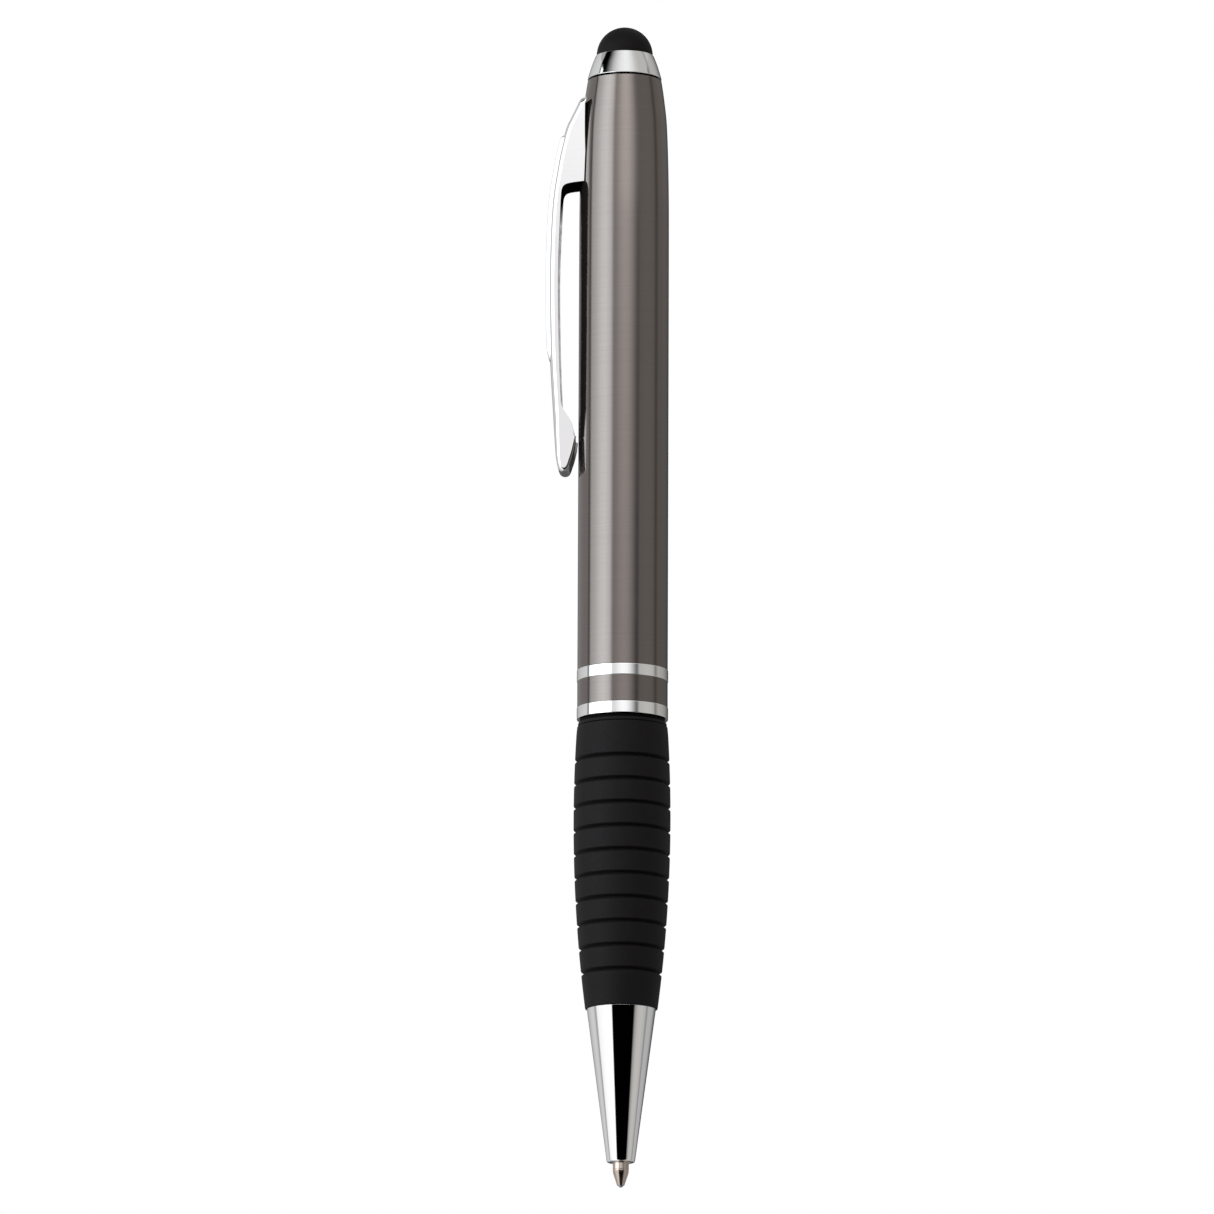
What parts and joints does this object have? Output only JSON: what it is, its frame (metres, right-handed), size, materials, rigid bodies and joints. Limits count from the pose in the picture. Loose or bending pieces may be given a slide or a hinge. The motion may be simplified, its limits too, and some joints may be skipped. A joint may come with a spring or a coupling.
{
  "type": "retractable ballpoint pen",
  "caption": "Twist-action ballpoint pen with a gunmetal barrel, ribbed rubber grip, chrome pocket clip, chrome nose and a soft stylus dome on top.",
  "frame": {"origin": "on the pen's axis at the twist seam, the lower edge of the lower trim ring, where the hand holds the lower half", "axes": "+Z along the pen's axis towards the stylus dome; the writing tip points along -Z; the pocket clip is on the -X side"},
  "size_m": [0.015, 0.0114, 0.1399],
  "materials": {
    "gunmetal": "glossy warm grey metallic lacquer",
    "chrome": "polished plating",
    "soft_rubber": "smooth matte",
    "grip_rubber": "matte moulded",
    "black_plastic": "moulded acetal",
    "white_plastic": "natural acetal",
    "brass": "turned",
    "steel": "bright drawn",
    "refill_metal": "satin plated tube",
    "ink": "black paste",
    "nickel_silver": "bright turned nickel silver",
    "carbide": "polished ball"
  },
  "bodies": {
    "lower_half": {"lower_barrel": "brass", "grip_sleeve": "grip_rubber", "nozzle": "chrome", "thrust_washer": "black_plastic", "friction_ring": "soft_rubber", "retaining_ring": "steel", "guide_tube": "white_plastic", "return_spring": "steel"},
    "upper_half": {"upper_barrel": "gunmetal", "upper_trim_ring": "chrome", "center_band": "gunmetal", "lower_trim_ring": "chrome", "barrel_bush": "white_plastic", "cam_sleeve": "white_plastic", "mechanism_housing": "brass", "mechanism_cap": "brass", "top_insert": "black_plastic", "finial_ring": "chrome", "stylus_core": "black_plastic", "stylus_dome": "soft_rubber"},
    "refill": {"plunger": "white_plastic", "drive_pin": "steel", "refill_tube": "refill_metal", "refill_end_plug": "white_plastic", "ink_column": "ink", "refill_nose": "brass", "refill_tip": "nickel_silver"},
    "ball": {"writing_ball": "carbide"},
    "clip": {"clip_arm": "chrome", "clip_plate": "chrome"}
  },
  "joints": [
    {"name": "barrel_twist", "type": "hinge", "parent": "lower_half", "child": "upper_half", "pos_m": [0, 0, 0], "axis": [0, 0, 1], "range_deg": [0, 180]},
    {"name": "refill_slide", "type": "slide", "parent": "lower_half", "child": "refill", "axis": [0, 0, 1], "range_m": [0, 0.005], "deforming": ["return_spring"]},
    {"name": "ball_roll", "type": "hinge", "parent": "refill", "child": "ball", "pos_m": [0, 0, -0.05539], "axis": [1, 0, 0], "continuous": true},
    {"name": "clip_flex", "type": "hinge", "parent": "upper_half", "child": "clip", "pos_m": [-0.0052, 0, 0.0685], "axis": [0, 1, 0], "range_deg": [0, 4], "stiffness_Nm_per_rad": 2.5}
  ],
  "couplings": [
    {"joint": "refill_slide", "follows": "barrel_twist", "m_per_rad": 0.0015915}
  ]
}
